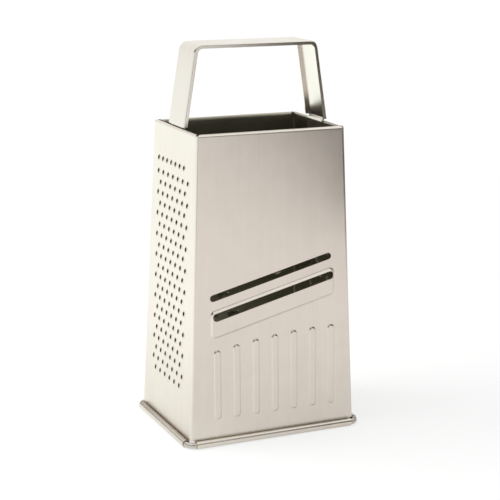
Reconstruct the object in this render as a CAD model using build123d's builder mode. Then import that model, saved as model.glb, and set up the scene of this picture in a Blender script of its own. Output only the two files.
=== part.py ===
from build123d import *
from math import acos, atan2, cos, degrees, radians, sin, tan
import os

os.makedirs("parts", exist_ok=True)

# A four-sided box grater pressed from stainless sheet. +Z is up and the slicing side faces -Y.
# The origin is the middle of the footprint, on the surface that the grater stands on.

# Box: outer faces of the sheet, measured at the floor and at the rim
rim_height = 180.1
base_width = 105.5
base_depth = 78.2
top_width = 92.1
top_depth = 65.3
sheet = 0.5
corner_radius = 2.0
overrun = 1.0

# Folded rim
hem_radius = 1.8
side_hem_radius = 1.2
hem_depth = 4.0
hem_setback = 1.4
corner_drop = 0.7

# Wired base
wire_diameter = 3.2
wire_play = 0.15
wire_corner_radius = 4.55
bead_setback = 3.0
curl_angle = 304

# Rear seams
seam_play = 0.05
seam_flange = 3.5
seam_lip = 4.5

# Handle strap
overall_height = 227.5
handle_top_width = 76.1
handle_foot_width = 91.1
handle_corner_radius = 5.5
strap_width = 23.8
strap_sheet = 0.8
strap_flange = 2.4
strap_edge_radius = 1.1
tongue_width = 18.4
tongue_depth = 9.0
tongue_play = 0.05
joggle_rise = 1.2
joggle_drop = 0.4
joggle_radius = 1.2

# Slicing side: two slanted slots, the lower one in a raised band, and a row of guide ribs
slot_angle = 13.7
slot_length = 78.8
upper_slot_width = 4.0
upper_slot_across = -0.9
upper_slot_drop = 84.3
lower_slot_width = 4.7
lower_slot_across = 0.5
lower_slot_drop = 95.6
band_half_width = 39.6
band_above_slot = 2.1
band_below_slot = 10.2
band_rise = 0.85
band_foot_run = 0.5
band_foot_rise = 0.1
band_step_run = 1.0
band_corner_radius = 3.0
rib_count = 7
rib_pitch = 12.12
rib_shift = 1.1
rib_width = 5.3
rib_side_run = 1.5
rib_rise = 0.55
rib_sink = 0.03
rib_foot_drop = 165.4
rib_shortest = 42.0
rib_longest = 49.2

# Fine side: rows of small drop-shaped holes, each with a raised burr under it
fine_row_pitch = 6.28
fine_hole_pitch = 7.62
fine_top_pitch = 6.54
fine_top_gap = 7.9
fine_first_drop = 28.9
fine_rows = 20
fine_columns = 7
fine_hole_radius = 1.4
fine_hole_tail = 1.85
fine_burr_radius = 2.1
fine_burr_lip = 0.15
fine_burr_rise = 0.5
fine_burr_foot = 1.6

# Medium side: staggered half-round teeth
medium_pitch = 9.2
medium_row_pitch = 8.2
medium_first_drop = 22.0
medium_rows = 16
medium_columns = 6
medium_half_width = 2.7
medium_rise = 1.35

# Coarse side: larger half-round teeth, and the gap that both kinds of tooth leave above their edge
coarse_pitch = 14.4
coarse_row_pitch = 12.6
coarse_first_drop = 24.0
coarse_rows = 11
coarse_columns = 6
coarse_half_width = 4.3
coarse_rise = 1.8
tooth_gap = 0.4

# Sizes that follow from the ones above
front_lean = atan2((base_depth - top_depth) / 2, rim_height)
side_lean = atan2((base_width - top_width) / 2, rim_height)
seam_lap = sheet + seam_play
wire_radius = wire_diameter / 2
bead_inner_radius = wire_radius + wire_play
bead_width = 2 * (bead_inner_radius + sheet)
slot_slope = tan(radians(slot_angle))
band_drop = lower_slot_drop + slot_slope * lower_slot_across

# One plane on the outer face of each side: its origin is the middle of the rim, its Y runs up the side
front_face = Plane((0, -top_depth / 2, rim_height), (1, 0, 0), (0, -cos(front_lean), sin(front_lean)))
rear_face = Plane((0, top_depth / 2, rim_height), (-1, 0, 0), (0, cos(front_lean), sin(front_lean)))
left_face = Plane((-top_width / 2, 0, rim_height), (0, -1, 0), (-cos(side_lean), 0, sin(side_lean)))
right_face = Plane((top_width / 2, 0, rim_height), (0, 1, 0), (cos(side_lean), 0, sin(side_lean)))


def tapered_shell(walls, bend_radius, top_drop):
    """Four leaning walls of one sheet thickness, with rounded corners, open above and below."""
    with BuildPart() as shell:
        with Locations((0, 0, bead_width)):
            wall_height = rim_height - top_drop - bead_width
            Box(2 * base_width, 2 * base_depth, wall_height, align=(Align.CENTER, Align.CENTER, Align.MIN))
        for wall in walls:
            split(bisect_by=wall, keep=Keep.BOTTOM)
        fillet(shell.edges().filter_by(Plane.XY, reverse=True), radius=bend_radius)
        offset(amount=-sheet, openings=shell.faces().filter_by(Axis.Z))
    return shell.part


def side_section(face):
    """Plane across a side: its X points outwards, square to the side, and its Y runs up the side."""
    return Plane(face.origin, face.z_dir, -face.x_dir)


def bead_axis_drop(lean):
    """Distance down a side from the rim to the axis of the base wire."""
    return (rim_height - bead_width / 2 + bead_inner_radius * sin(lean)) / cos(lean)


def folded_rim(face, length, radius):
    """Top edge of a side folded inwards and down over its own inside, with mitred ends."""
    with BuildPart() as rim:
        with BuildSketch(side_section(face)):
            with BuildLine():
                Line((0, -radius - overrun), (0, -radius))
                fold = CenterArc((-radius, -radius), radius, 0, 180)
                Line(fold @ 1, (-2 * radius, -hem_depth))
                offset(amount=sheet, side=Side.LEFT, closed=True)
            make_face()
        extrude(amount=length / 2, both=True)
        for turn in (-1, 1):
            end = face.from_local_coords((turn * length / 2, 0, -sheet))
            split(bisect_by=Plane(end, z_dir=face.x_dir * turn - face.z_dir), keep=Keep.BOTTOM)
    return rim.part


def rolled_base(face, lean, length):
    """Bottom edge of a side rolled outwards and up round the base wire, a narrow gap short of the side."""
    axis_drop = bead_axis_drop(lean)
    with BuildPart() as bead:
        with BuildSketch(side_section(face)):
            with BuildLine():
                top = bead_width / 2 + overrun - axis_drop
                inner = CenterArc((bead_inner_radius, -axis_drop), bead_inner_radius, 180, curl_angle)
                outer = CenterArc((bead_inner_radius, -axis_drop), bead_inner_radius + sheet, 180, curl_angle)
                Line(inner @ 1, outer @ 1)
                Polyline(inner @ 0, (0, top), (-sheet, top), outer @ 0)
            make_face()
        extrude(amount=length / 2, both=True)
    return bead.part


def cap_radius(half_width, rise):
    """Radius of a ball that stands out of a flat sheet by the rise over the given half width."""
    return (half_width ** 2 + rise ** 2) / (2 * rise)


def rib_form(length, sink):
    """Flat-topped, round-ended rib with soft sides, or, sunk by one sheet, the hollow behind it."""
    half_width = rib_width / 2
    bend_radius = (rib_side_run ** 2 + rib_rise ** 2) / (4 * rib_rise)
    bend = degrees(2 * atan2(rib_rise, rib_side_run))
    foot = -rib_sink - sink
    with BuildSketch(Plane.XZ) as half_section:
        with BuildLine():
            flank = JernArc((half_width, foot), (-1, 0), bend_radius, -bend)
            shoulder = JernArc(flank @ 1, flank % 1, bend_radius, bend)
            Polyline(shoulder @ 1, (0, foot + rib_rise), (0, foot), flank @ 0)
        make_face()
    with BuildPart() as rib_end:
        revolve(half_section.sketch, axis=Axis.Z)
    end = length / 2 - half_width
    with BuildPart() as rib:
        extrude(half_section.sketch, amount=end, both=True)
        mirror(about=Plane.YZ)
        with Locations((0, end, 0), (0, -end, 0)):
            add(rib_end.part)
    return rib.part


def hood_form(half_width, rise):
    """Half of a domed cap: the raised cutting edge below a grating hole, open upwards."""
    ball = cap_radius(half_width, rise)
    with BuildPart() as hood:
        with Locations((0, 0, rise - ball)):
            Sphere(ball)
        split(bisect_by=Plane.XY, keep=Keep.TOP)
        split(bisect_by=Plane.XZ, keep=Keep.TOP)
    return hood.part


def hood_hollow(half_width, rise):
    """The space under such a hood: half of a smaller ball that goes right through the sheet."""
    ball = cap_radius(half_width, rise)
    with BuildPart() as hollow:
        with Locations((0, 0, rise - ball)):
            Sphere(ball - sheet)
        split(bisect_by=Plane.XZ.offset(-tooth_gap), keep=Keep.TOP)
    return hollow.part


def staggered_places(columns, rows, pitch, row_pitch, first_drop):
    """Middles of holes in rows that lose one hole, and shift by half a pitch, every second row."""
    places = []
    for row in range(rows):
        count = columns - row % 2
        for column in range(count):
            places.append((pitch * (column - (count - 1) / 2), -first_drop - row_pitch * row))
    return places


def on_face(face, places, depth=0):
    """Locations on a side for places given along it and up it."""
    return [face.location * Location((along, up, depth)) for along, up in places]


def band_outline(inset):
    """Corners of the slanted raised band, drawn in by the inset; its ends are upright."""
    half_slot = lower_slot_width / 2 / cos(radians(slot_angle))
    side = band_half_width - inset
    low = inset - half_slot - band_below_slot
    high = half_slot + band_above_slot - inset
    lift = slot_slope * side
    return [(-side, low - lift), (side, low + lift), (side, high + lift), (-side, high - lift)]


def raised_band(sink):
    """Flat raised band round the lower slot, with a soft step down to the sheet on all four sides."""
    layers = [(0, 0), (band_foot_run, band_foot_rise), (band_foot_run + band_step_run, band_rise)]
    with BuildPart() as band:
        for inset, height in layers:
            with BuildSketch(front_face.offset(height - sink)) as layer:
                with Locations((0, -band_drop)):
                    Polygon(*band_outline(inset), align=None)
                fillet(layer.vertices(), radius=band_corner_radius - inset)
        loft(ruled=True)
    return band.part


# Front and sides: one sheet bent at the front corners, its rear edges lapped over the rear panel
wrap_walls = (front_face, left_face, right_face, rear_face.offset(seam_lap))
wrap_shell = tapered_shell(wrap_walls, corner_radius, corner_drop)
hem_length = top_width - 2 * hem_setback
side_hem_length = top_depth - 2 * hem_setback
front_hem = folded_rim(front_face, hem_length, hem_radius)
left_hem = folded_rim(left_face, side_hem_length, side_hem_radius)
right_hem = folded_rim(right_face, side_hem_length, side_hem_radius)
front_bead = rolled_base(front_face, front_lean, base_width - 2 * bead_setback)
left_bead = rolled_base(left_face, side_lean, base_depth - 2 * bead_setback)
right_bead = rolled_base(right_face, side_lean, base_depth - 2 * bead_setback)
rib_lengths = []
for rib in range(rib_count):
    share = 1 - rib / (rib_count - 1)
    rib_lengths.append(rib_longest - (rib_longest - rib_shortest) * share ** 2)
ribs = [rib_form(length, 0) for length in rib_lengths]
rib_hollows = [rib_form(length, sheet) for length in rib_lengths]
slot_band = raised_band(0)
band_hollow = raised_band(sheet)
fine_places = staggered_places(fine_columns, fine_rows, fine_hole_pitch, fine_row_pitch, fine_first_drop)
fine_start = -fine_hole_pitch * (fine_columns - 1) / 2
for column in range(fine_columns):
    fine_places.append((fine_start + fine_top_pitch * column, fine_top_gap - fine_first_drop))
medium_places = staggered_places(medium_columns, medium_rows, medium_pitch, medium_row_pitch,
                                 medium_first_drop)
medium_hood = hood_form(medium_half_width, medium_rise)
medium_hollow = hood_hollow(medium_half_width, medium_rise)

with BuildPart() as fine_burr:
    Cone(fine_burr_radius, fine_hole_radius + fine_burr_lip, fine_burr_rise,
         align=(Align.CENTER, Align.CENTER, Align.MIN))
    burr_fall = (0, fine_burr_rise, fine_burr_foot + fine_burr_radius)
    split(bisect_by=Plane((0, fine_burr_foot, 0), (1, 0, 0), burr_fall), keep=Keep.BOTTOM)

with BuildPart() as front_and_sides:
    add(wrap_shell)
    with BuildSketch(rear_face.offset(seam_lap)):
        rear_drop = rim_height / cos(front_lean)
        top_gap = top_width / 2 - seam_lip
        base_gap = base_width / 2 - seam_lip
        Polygon((-top_gap, 0), (-base_gap, -rear_drop), (base_gap, -rear_drop), (top_gap, 0), align=None)
    extrude(amount=-(sheet + overrun), mode=Mode.SUBTRACT)
    with Locations(front_face.location):
        Box(hem_length, 2 * hem_radius, 2 * sheet + overrun, mode=Mode.SUBTRACT)
    with Locations(left_face.location, right_face.location):
        Box(side_hem_length, 2 * side_hem_radius, 2 * sheet + overrun, mode=Mode.SUBTRACT)
    add([front_hem, left_hem, right_hem, front_bead, left_bead, right_bead])
    add(slot_band)
    add(band_hollow, mode=Mode.SUBTRACT)
    for rib, (form, hollow) in enumerate(zip(ribs, rib_hollows)):
        along = rib_shift + rib_pitch * (rib - (rib_count - 1) / 2)
        with Locations(on_face(front_face, [(along, rib_lengths[rib] / 2 - rib_foot_drop)])):
            add(form)
            add(hollow, mode=Mode.SUBTRACT)
    with BuildSketch(front_face.offset(band_rise + overrun)):
        with Locations((upper_slot_across, -upper_slot_drop)):
            SlotOverall(slot_length, upper_slot_width, rotation=slot_angle)
        with Locations((lower_slot_across, -lower_slot_drop)):
            SlotOverall(slot_length, lower_slot_width, rotation=slot_angle)
    extrude(amount=-(band_rise + sheet + 2 * overrun), mode=Mode.SUBTRACT)
    with Locations(on_face(left_face, fine_places)):
        add(fine_burr.part)
    with BuildSketch(left_face.offset(fine_burr_rise + overrun)):
        with Locations(fine_places):
            tangent = acos(fine_hole_radius / fine_hole_tail)
            side = fine_hole_radius * sin(tangent)
            Circle(fine_hole_radius)
            Polygon((0, fine_hole_tail), (-side, fine_hole_radius * cos(tangent)),
                    (side, fine_hole_radius * cos(tangent)), align=None)
    extrude(amount=-(fine_burr_rise + sheet + 2 * overrun), mode=Mode.SUBTRACT)
    with Locations(on_face(right_face, medium_places)):
        add(medium_hood)
        add(medium_hollow, mode=Mode.SUBTRACT)
front_and_sides.part.label = "front_and_sides"
export_step(front_and_sides.part, "parts/front_and_sides.step")

# Rear panel: the second sheet, its side edges bent forward inside the side walls and tucked under their hems
rear_walls = (front_face, left_face.offset(-seam_lap), right_face.offset(-seam_lap), rear_face)
rear_shell = tapered_shell(rear_walls, corner_radius - seam_lap, hem_radius)
rear_hem = folded_rim(rear_face, hem_length, hem_radius)
rear_bead = rolled_base(rear_face, front_lean, base_width - 2 * bead_setback)
coarse_places = staggered_places(coarse_columns, coarse_rows, coarse_pitch, coarse_row_pitch,
                                 coarse_first_drop)
coarse_hood = hood_form(coarse_half_width, coarse_rise)
coarse_hollow = hood_hollow(coarse_half_width, coarse_rise)

with BuildPart() as rear_panel:
    add(rear_shell)
    split(bisect_by=rear_face.offset(-seam_flange), keep=Keep.TOP)
    add([rear_hem, rear_bead])
    with Locations(on_face(rear_face, coarse_places)):
        add(coarse_hood)
        add(coarse_hollow, mode=Mode.SUBTRACT)
rear_panel.part.label = "rear_panel"
export_step(rear_panel.part, "parts/rear_panel.step")

# Base wire: a closed ring of round wire in the rolled edges, bare at the rounded corners
front_axis = front_face.from_local_coords((0, -bead_axis_drop(front_lean), bead_inner_radius))
side_axis = right_face.from_local_coords((0, -bead_axis_drop(side_lean), bead_inner_radius))

with BuildSketch(Plane.XY.offset(bead_width / 2)) as wire_outline:
    RectangleRounded(2 * side_axis.X, -2 * front_axis.Y, wire_corner_radius)

with BuildPart() as base_wire:
    wire_path = wire_outline.sketch.wire()
    with BuildSketch(Plane(wire_path @ 0, z_dir=wire_path % 0)):
        Circle(wire_radius)
    sweep(path=wire_path)
base_wire.part.label = "base_wire"
export_step(base_wire.part, "parts/base_wire.step")

# Handle: a pressed channel strap whose feet step in over the side hems and run down inside them as tongues
tongue_face = right_face.offset(-2 * side_hem_radius - tongue_play)
tongue_top = tongue_face.from_local_coords((0, -joggle_drop, 0))
tongue_end = tongue_face.from_local_coords((0, -tongue_depth, 0))
leg_lean = (handle_foot_width - handle_top_width) / 2 / (overall_height - rim_height)
foot_height = rim_height + joggle_rise
foot_half_width = handle_foot_width / 2 - leg_lean * joggle_rise
strap_path = [(tongue_end.X, tongue_end.Z), (tongue_top.X, tongue_top.Z), (foot_half_width, foot_height),
              (handle_top_width / 2, overall_height)]
strap_path += [(-across, height) for across, height in reversed(strap_path)]
strap_radii = [joggle_radius, joggle_radius, handle_corner_radius]

with BuildSketch() as arch:
    with BuildLine():
        arch_drop = 2 * strap_flange
        arch_foot = (handle_foot_width / 2 + leg_lean * arch_drop, rim_height - arch_drop)
        arch_top = (handle_top_width / 2, overall_height)
        arch_points = [arch_foot, arch_top, (-arch_top[0], arch_top[1]), (-arch_foot[0], arch_foot[1])]
        crown = FilletPolyline(*arch_points, radius=handle_corner_radius)
        Line(crown @ 1, crown @ 0)
    make_face()

with BuildPart() as handle:
    with BuildSketch(Plane.XZ):
        add(arch.sketch)
    extrude(amount=strap_width / 2, both=True)
    fillet(handle.edges().group_by(Axis.Y)[0] + handle.edges().group_by(Axis.Y)[-1], radius=strap_edge_radius)
    with BuildSketch(Plane.XZ):
        add(arch.sketch)
        offset(amount=-strap_flange)
    extrude(amount=strap_width, both=True, mode=Mode.SUBTRACT)
    with BuildSketch(Plane.XZ):
        add(arch.sketch)
        offset(amount=-strap_sheet)
    extrude(amount=strap_width / 2 - strap_sheet, both=True, mode=Mode.SUBTRACT)
    split(bisect_by=Plane.XY.offset(foot_height), keep=Keep.TOP)
    with BuildSketch(Plane.XZ):
        with BuildLine():
            FilletPolyline(*strap_path, radius=strap_radii + strap_radii[::-1])
            offset(amount=strap_sheet, side=Side.LEFT, closed=True)
        make_face()
    extrude(amount=tongue_width / 2, both=True)
handle.part.label = "handle"
export_step(handle.part, "parts/handle.step")
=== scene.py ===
from math import cos, radians, sin

import bpy
from mathutils import Matrix, Vector


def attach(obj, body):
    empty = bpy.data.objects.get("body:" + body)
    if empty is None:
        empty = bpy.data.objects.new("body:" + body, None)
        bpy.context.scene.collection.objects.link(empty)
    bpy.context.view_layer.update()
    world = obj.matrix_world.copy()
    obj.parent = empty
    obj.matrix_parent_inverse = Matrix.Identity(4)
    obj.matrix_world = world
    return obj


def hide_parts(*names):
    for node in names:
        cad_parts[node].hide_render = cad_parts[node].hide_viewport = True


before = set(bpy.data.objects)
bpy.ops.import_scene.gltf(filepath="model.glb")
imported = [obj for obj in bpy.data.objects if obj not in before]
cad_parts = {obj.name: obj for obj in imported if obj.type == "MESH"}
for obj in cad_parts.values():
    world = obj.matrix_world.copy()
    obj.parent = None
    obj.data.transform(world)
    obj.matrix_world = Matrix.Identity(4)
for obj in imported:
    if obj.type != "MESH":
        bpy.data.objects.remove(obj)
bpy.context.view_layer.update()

# Base wire
# A closed ring of drawn steel wire that stiffens the foot of the grater. The four edges of the sheets
# are rolled round it, so it shows only at the rounded corners, smooth and a little duller than the sheet.
wire_light = (0.74, 0.69, 0.62, 1)
wire_dark = (0.58, 0.53, 0.47, 1)
wire_roughness_low = 0.28
wire_roughness_high = 0.42
wire_die_marks = 2400
wire_smudges = 160
wire_mark_depth = 3e-6
crisp_edge = radians(30)
same_point = 2e-6
noise_low = 0.3
noise_high = 0.7


def joined_copy(node, piece_name):
    """Copy of a part with its triangles joined, smooth over its bends and crisp at its cut edges."""
    piece = bpy.data.objects.new(piece_name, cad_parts[node].data.copy())
    bpy.context.scene.collection.objects.link(piece)
    bpy.ops.object.select_all(action="DESELECT")
    piece.select_set(True)
    bpy.context.view_layer.objects.active = piece
    bpy.ops.object.mode_set(mode="EDIT")
    bpy.ops.mesh.select_all(action="SELECT")
    bpy.ops.mesh.remove_doubles(threshold=same_point)
    bpy.ops.mesh.customdata_custom_splitnormals_clear()
    bpy.ops.object.mode_set(mode="OBJECT")
    bpy.ops.object.shade_smooth_by_angle(angle=crisp_edge)
    bpy.ops.object.modifier_add(type="WEIGHTED_NORMAL")
    piece.modifiers[-1].keep_sharp = True
    bpy.ops.object.modifier_apply(modifier=piece.modifiers[-1].name)
    piece.data.materials.clear()
    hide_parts(node)
    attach(piece, "root")
    return piece


def add_node(tree, kind, inputs, **settings):
    """Adds one shader node. Each input is a plain value or an output of another node."""
    node = tree.nodes.new(kind)
    for name, value in settings.items():
        setattr(node, name, value)
    for socket, value in inputs.items():
        if isinstance(value, bpy.types.NodeSocket):
            tree.links.new(value, node.inputs[socket])
        else:
            node.inputs[socket].default_value = value
    return node


def noise(tree, place, scale=1.0, detail=2.0):
    """Soft noise, 0 to 1, at a place that may be stretched."""
    texture = add_node(tree, "ShaderNodeTexNoise", {"Vector": place, "Scale": scale, "Detail": detail})
    return texture.outputs["Fac"]


def stretched(tree, place, stretch):
    """The place, scaled apart along each axis, so that noise read there becomes streaks."""
    return add_node(tree, "ShaderNodeVectorMath", {0: place, 1: stretch}, operation="MULTIPLY").outputs[0]


def ranged(tree, value, low, high, to_low, to_high):
    """A value between low and high, spread to the range between to_low and to_high."""
    inputs = {"Value": value, "From Min": low, "From Max": high, "To Min": to_low, "To Max": to_high}
    return add_node(tree, "ShaderNodeMapRange", inputs).outputs[0]


def combined(tree, operation, first, second):
    """Two values worked together."""
    return add_node(tree, "ShaderNodeMath", {0: first, 1: second}, operation=operation).outputs[0]


def metal(name):
    """A new metal with its node tree, its shader and the place on the piece."""
    material = bpy.data.materials.new(name)
    material.use_nodes = True
    tree = material.node_tree
    shader = tree.nodes["Principled BSDF"]
    shader.inputs["Metallic"].default_value = 1
    place = add_node(tree, "ShaderNodeTexCoord", {}).outputs["Object"]
    return material, tree, shader, place


def weighted_sum(tree, parts):
    """Sum of values, each with its weight."""
    total = None
    for value, weight in parts:
        share = combined(tree, "MULTIPLY", value, weight)
        total = share if total is None else combined(tree, "ADD", total, share)
    return total


def mixed(tree, share, first, second):
    """A colour between two others. The numbers are the colour sockets of the node."""
    inputs = {0: share, 6: first, 7: second}
    return add_node(tree, "ShaderNodeMix", inputs, data_type="RGBA").outputs[2]


def coloured(tree, shader, share, dark, light):
    """Sets a metal's colour between two shades."""
    tree.links.new(mixed(tree, share, dark, light), shader.inputs["Base Color"])


def roughened(tree, shader, share, low, high):
    """Sets a metal's roughness between two values."""
    roughness = ranged(tree, share, noise_low, noise_high, low, high)
    tree.links.new(roughness, shader.inputs["Roughness"])


def marked(tree, shader, height, depth):
    """Gives a metal fine surface marks of a real depth."""
    bump = add_node(tree, "ShaderNodeBump", {"Height": height, "Strength": 1.0, "Distance": depth})
    tree.links.new(bump.outputs[0], shader.inputs["Normal"])


def drawn_wire():
    """Wire pulled through a die: fine marks, and soft smudges that are duller."""
    material, tree, shader, place = metal("drawn_wire")
    marks = noise(tree, place, wire_die_marks)
    smudges = noise(tree, place, wire_smudges)
    coloured(tree, shader, smudges, wire_dark, wire_light)
    roughened(tree, shader, smudges, wire_roughness_high, wire_roughness_low)
    marked(tree, shader, marks, wire_mark_depth)
    return material


base_wire = joined_copy("base_wire", "base_wire_drawn")
base_wire.data.materials.append(drawn_wire())

# Front and sides
# One stainless sheet, bent at the two front corners: the slicing front, the fine left side and the medium
# right side. It is brushed from top to bottom outside and left with its dull mill finish inside, whose
# colour is darkened further as painted shade inside the box.
sheet_light = (0.86, 0.79, 0.715, 1)
sheet_dark = (0.81, 0.74, 0.665, 1)
sheet_roughness_low = 0.28
sheet_roughness_high = 0.34
sheet_anisotropy = 0.35
brush_line = (2600, 2600, 22)
brush_band = (240, 240, 6)
brush_depth = 2e-6
handling_smudges = 26
mottling = 95
mottling_detail = 3.0
line_weight = 0.3
band_weight = 0.25
mottling_weight = 0.45
wear_weight = 0.5
shade_low = 0.35
shade_high = 0.65
# The inside colours are darker than the steel itself: painted shade of the box's inside.
mill_light_and_shade = (0.49, 0.47, 0.39, 1)
mill_dark_and_shade = (0.37, 0.35, 0.285, 1)
mill_roughness_low = 0.28
mill_roughness_high = 0.38
mill_line = (900, 900, 60)
mill_depth = 5e-6
box_height = 0.180
mean_width = 0.0988
mean_depth = 0.0718
width_loss = 0.0134
depth_loss = 0.0129
taper_along = width_loss / box_height / mean_width
taper_across = depth_loss / box_height / mean_depth
half_width = 0.0498
half_depth = 0.0363
inward = -0.35
cut_edge = 0.05
bead_top = 0.0045
hem_foot = 0.1762


def upright_place(tree, place):
    """The place on the tapered box as if its sides stood upright, so that streaks follow the sides."""
    parts = add_node(tree, "ShaderNodeSeparateXYZ", {0: place}).outputs
    along = combined(tree, "MULTIPLY", parts[0], ranged(tree, parts[2], 0, 1, 1, 1 + taper_along))
    across = combined(tree, "MULTIPLY", parts[1], ranged(tree, parts[2], 0, 1, 1, 1 + taper_across))
    return add_node(tree, "ShaderNodeCombineXYZ", {0: along, 1: across, 2: parts[2]}).outputs[0]


def brushed_sheet(name):
    """Outside of a sheet: long fine brush lines, broader bands, soft mottling and handling smudges."""
    material, tree, shader, place = metal(name)
    upright = upright_place(tree, place)
    lines = noise(tree, stretched(tree, upright, brush_line))
    bands = noise(tree, stretched(tree, upright, brush_band))
    clouds = noise(tree, place, mottling, mottling_detail)
    smudges = noise(tree, place, handling_smudges)
    shade = weighted_sum(tree, [(bands, band_weight), (lines, line_weight), (clouds, mottling_weight)])
    coloured(tree, shader, ranged(tree, shade, shade_low, shade_high, 0, 1), sheet_dark, sheet_light)
    wear = weighted_sum(tree, [(smudges, wear_weight), (clouds, wear_weight)])
    roughened(tree, shader, wear, sheet_roughness_low, sheet_roughness_high)
    shader.inputs["Anisotropic"].default_value = sheet_anisotropy
    marked(tree, shader, lines, brush_depth)
    return material


def shaded_mill_sheet(name):
    """Inside of a sheet: unbrushed and duller, with faint rolling lines; its darker, greyer colour is
    painted shade of the box's inside.
    """
    material, tree, shader, place = metal(name)
    lines = noise(tree, stretched(tree, upright_place(tree, place), mill_line))
    smudges = noise(tree, place, handling_smudges)
    coloured(tree, shader, smudges, mill_dark_and_shade, mill_light_and_shade)
    roughened(tree, shader, smudges, mill_roughness_low, mill_roughness_high)
    marked(tree, shader, lines, mill_depth)
    return material


def finish_sheet(piece, outside, inside):
    """Gives the inside finish, with its painted shade, to faces that look towards the middle of the box,
    and, but for the front, to the cut edges of holes and teeth, which it paints darker as shade."""
    piece.data.materials.append(outside)
    piece.data.materials.append(inside)
    for face in piece.data.polygons:
        away = Vector((face.center.x / half_width, face.center.y / half_depth, 0))
        if abs(away.x) > abs(away.y):
            away.y = 0
        else:
            away.x = 0
        toothed = away.y >= 0 and bead_top < face.center.z < hem_foot
        # Inward faces and the cut edges of teeth get the darker inside colour: painted shade.
        if face.normal.dot(away.normalized()) < (cut_edge if toothed else inward):
            face.material_index = 1


front_and_sides = joined_copy("front_and_sides", "front_and_sides_brushed")
finish_sheet(front_and_sides, brushed_sheet("brushed_front"), shaded_mill_sheet("mill_inside_painted_shade"))

# Rear panel
# The second sheet, from the same stock, with the coarse teeth. Its side edges are bent forward and
# spot-welded inside the side walls, and its foot is rolled round the wire like the others.
rear_panel = joined_copy("rear_panel", "rear_panel_brushed")
finish_sheet(rear_panel, bpy.data.materials["brushed_front"], bpy.data.materials["mill_inside_painted_shade"])

# Handle
# One pressed strap of thicker sheet with turned-down edges. It is brushed along its length and
# polished a little by hands; its two tongues are welded inside the folded rim.
strap_light = (0.86, 0.81, 0.74, 1)
strap_dark = (0.81, 0.76, 0.69, 1)
strap_roughness_low = 0.19
strap_roughness_high = 0.27
strap_line = (30, 2600, 30)
strap_band = (9, 520, 9)
strap_depth = 1.5e-6
strap_smudges = 52
strap_weight = 0.5


def brushed_strap():
    """Strap steel: brush lines that run along the strap, over its top and down its legs."""
    material, tree, shader, place = metal("brushed_strap")
    lines = noise(tree, stretched(tree, place, strap_line))
    bands = noise(tree, stretched(tree, place, strap_band))
    smudges = noise(tree, place, strap_smudges)
    shade = weighted_sum(tree, [(bands, strap_weight), (lines, strap_weight)])
    coloured(tree, shader, ranged(tree, shade, noise_low, noise_high, 0, 1), strap_dark, strap_light)
    roughened(tree, shader, smudges, strap_roughness_low, strap_roughness_high)
    marked(tree, shader, lines, strap_depth)
    return material


handle = joined_copy("handle", "handle_brushed")
handle.data.materials.append(brushed_strap())

# Floor
# A wide sheet of matt white paper on a table. The camera sees it as plain white, with the grater's soft
# shadow on it.
# In reflections the paper glows with a painted tint, brighter behind and to the left, painted dimmer just
# in front of the grater, and it ends on the right in a painted dark table.
floor_size = 6.0
paper_white = (0.88, 0.88, 0.87, 1)
# Painted reflection: the tints the paper glows with in reflections, brighter behind and left, dimmer in
# front and right.
paper_glow_behind = (1.14, 1.21, 1.18, 1)
paper_glow_before = (0.93, 0.905, 0.90, 1)
paper_diagonal = (0.7, -0.7, 0)
paper_tint_reach = 0.06
paper_edge = 0.62
paper_edge_blur = 0.08
# Painted dark reflection of a table: reflections past the paper's edge show this colour.
painted_table_dark = (0.045, 0.038, 0.028, 1)
glow_near = 0.66
glow_from = 0.25
glow_to = 0.9
glow_strength = 1.03
# Painted shade in reflections: the paper's glow is dimmed near this spot in front of the grater.
sheen_near = 0.74
sheen_middle = (0.05, -0.09, 0)
sheen_from = 0.04
sheen_to = 0.38
bpy.ops.object.select_all(action="DESELECT")
bpy.ops.mesh.primitive_plane_add(size=floor_size, location=(0, 0, 0))
floor = bpy.context.object
floor.name = "floor"
paper = bpy.data.materials.new("white_paper")
paper.use_nodes = True
tree = paper.node_tree
tree.nodes.clear()
rays = add_node(tree, "ShaderNodeLightPath", {}).outputs
spot = add_node(tree, "ShaderNodeTexCoord", {}).outputs["Object"]
spot_along = add_node(tree, "ShaderNodeSeparateXYZ", {0: spot}).outputs[0]
distance = add_node(tree, "ShaderNodeVectorMath", {0: spot}, operation="LENGTH").outputs["Value"]
glow_share = ranged(tree, distance, glow_from, glow_to, glow_near, 1)
diagonal = add_node(tree, "ShaderNodeVectorMath", {0: spot, 1: paper_diagonal}, operation="DOT_PRODUCT")
side = ranged(tree, diagonal.outputs["Value"], -paper_tint_reach, paper_tint_reach, 0, 1)
paper_tint = mixed(tree, side, paper_glow_behind, paper_glow_before)
past_edge = ranged(tree, spot_along, paper_edge - paper_edge_blur, paper_edge + paper_edge_blur, 0, 1)
reflected = mixed(tree, past_edge, paper_tint, painted_table_dark)
matt = add_node(tree, "ShaderNodeBsdfDiffuse", {"Color": paper_white}).outputs[0]
white = add_node(tree, "ShaderNodeEmission", {"Strength": glow_strength}).outputs[0]
before = add_node(tree, "ShaderNodeVectorMath", {0: spot, 1: sheen_middle}, operation="DISTANCE")
sheen_strength = ranged(tree, before.outputs["Value"], sheen_from, sheen_to, sheen_near, glow_strength)
# Painted reflection: for glossy rays the paper glows in its tint, dimmed in front and dark past its edge.
sheen = add_node(tree, "ShaderNodeEmission", {"Color": reflected, "Strength": sheen_strength}).outputs[0]
seen_share = combined(tree, "MULTIPLY", rays["Is Camera Ray"], glow_share)
sheen_share = combined(tree, "MULTIPLY", rays["Is Glossy Ray"],
                       combined(tree, "MAXIMUM", glow_share, past_edge))
look = add_node(tree, "ShaderNodeMixShader", {0: seen_share, 1: matt, 2: white}).outputs[0]
look = add_node(tree, "ShaderNodeMixShader", {0: sheen_share, 1: look, 2: sheen}).outputs[0]
add_node(tree, "ShaderNodeOutputMaterial", {"Surface": look})
floor.data.materials.append(paper)

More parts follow.
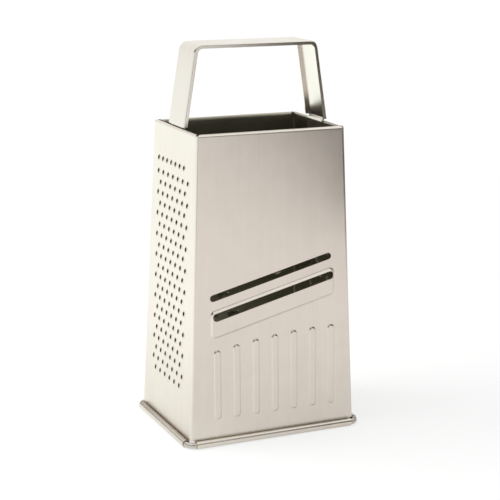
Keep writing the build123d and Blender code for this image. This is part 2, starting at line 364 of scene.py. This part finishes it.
# Studio light
# White paper up to a little over the horizon, a bright ceiling, and a dark belt of room between them. One
# softbox from the left, kept out of the reflections, throws the grater's shadow to the right.
room_bright = (1.03, 1.06, 1.05, 1)
room_dark = (0.10, 0.085, 0.07, 1)
horizon_from = 0.16
horizon_to = 0.27
ceiling_from = 0.50
ceiling_to = 0.66
plain_white = (1, 1, 1, 1)
world = bpy.data.worlds.new("studio")
bpy.context.scene.world = world
world.use_nodes = True
tree = world.node_tree
tree.nodes.clear()
towards = add_node(tree, "ShaderNodeTexCoord", {}).outputs["Generated"]
upwards = add_node(tree, "ShaderNodeSeparateXYZ", {0: towards}).outputs[2]
horizon_share = ranged(tree, upwards, horizon_from, horizon_to, 1, 0)
ceiling_share = ranged(tree, upwards, ceiling_from, ceiling_to, 0, 1)
bright_share = combined(tree, "MAXIMUM", horizon_share, ceiling_share)
room = mixed(tree, bright_share, room_dark, room_bright)
seen = add_node(tree, "ShaderNodeLightPath", {}).outputs["Is Camera Ray"]
view = mixed(tree, seen, room, plain_white)
background = add_node(tree, "ShaderNodeBackground", {"Color": view}).outputs[0]
add_node(tree, "ShaderNodeOutputWorld", {"Surface": background})

key_size = 1.0
key_power = 13
key_place = Vector((-0.9, 0.3, 0.8))
key_aim = Vector((0, 0, 0.1))
key_data = bpy.data.lights.new("key_softbox", "AREA")
key_data.size = key_size
key_data.energy = key_power
key = bpy.data.objects.new("key_softbox", key_data)
bpy.context.scene.collection.objects.link(key)
key.location = key_place
key.visible_glossy = False
key.rotation_euler = (key_place - key_aim).to_track_quat("Z", "Y").to_euler()

# Screens
# The dark camera stand that a polished corner reflects, two black flags on the right that darken the upper
# right of the slicing side, and a white card behind that brightens the handle. They glow with their own
# colour and
# show only in reflections: painted reflections.
screen_dark = (0.05, 0.038, 0.027, 1)
upright_turn = radians(90)
stand_turn = radians(-24.217)
stand_distance = 1.0
stand_width = 0.34
stand_height = 1.3
flag_turn = radians(24.7)
flag_middle = Vector((0.262, -0.197, 0))
flag_width = 0.25
flag_foot = 0.088
flag_top = 0.35
upper_flag_middle = Vector((0.222, -0.215, 0))
upper_flag_foot = 0.17
card_middle = Vector((-0.10, 0.42, 0))
card_width = 0.9
card_foot = 0.22
card_top = 0.62
card_colour = (0.96, 0.96, 0.94, 1)


def screen(name, colour, middle, turn, width, foot, top):
    """An upright screen that glows evenly in its colour and shows only in reflections, as a painted
    reflection.
    """
    bpy.ops.object.select_all(action="DESELECT")
    bpy.ops.mesh.primitive_plane_add(size=1, location=(0, 0, 0))
    piece = bpy.context.object
    piece.name = name
    piece.data.transform(Matrix.Translation(middle + Vector((0, 0, (foot + top) / 2)))
                         @ Matrix.Rotation(turn, 4, "Z") @ Matrix.Rotation(upright_turn, 4, "X")
                         @ Matrix.Diagonal((width, top - foot, 1, 1)))
    screen_glow = bpy.data.materials.new(name)
    screen_glow.use_nodes = True
    tree = screen_glow.node_tree
    tree.nodes.clear()
    shine = add_node(tree, "ShaderNodeEmission", {"Color": colour}).outputs[0]
    add_node(tree, "ShaderNodeOutputMaterial", {"Surface": shine})
    piece.data.materials.append(screen_glow)
    piece.visible_camera = False
    piece.visible_diffuse = False
    piece.visible_shadow = False


stand_middle = Vector((sin(stand_turn), -cos(stand_turn), 0)) * stand_distance
screen("camera_stand", screen_dark, stand_middle, stand_turn, stand_width, 0, stand_height)
screen("black_flag", screen_dark, flag_middle, flag_turn, flag_width, flag_foot, flag_top)
screen("upper_flag", screen_dark, upper_flag_middle, flag_turn, flag_width, upper_flag_foot, flag_top)
screen("white_card", card_colour, card_middle, 0, card_width, card_foot, card_top)

# Camera
# It stands where the photograph was taken from, in front to the left and a little above the rim.
camera_aim = Vector((0, 0, 0.09756))
camera_distance = 0.87905
azimuth = stand_turn
elevation = radians(14.074)
roll = radians(0.368)
camera_lens = 106.33
camera_shift_across = 0.00503
camera_shift_up = 0.02013
lens_data = bpy.data.cameras.new("camera")
lens_data.lens = camera_lens
lens_data.shift_x = camera_shift_across
lens_data.shift_y = camera_shift_up
camera = bpy.data.objects.new("camera", lens_data)
bpy.context.scene.collection.objects.link(camera)
back = Vector((sin(azimuth) * cos(elevation), -cos(azimuth) * cos(elevation), sin(elevation)))
turn = back.to_track_quat("Z", "Y").to_matrix().to_4x4() @ Matrix.Rotation(roll, 4, "Z")
camera.matrix_world = Matrix.Translation(camera_aim + camera_distance * back) @ turn
bpy.context.scene.camera = camera
bpy.context.scene.view_settings.view_transform = "Standard"
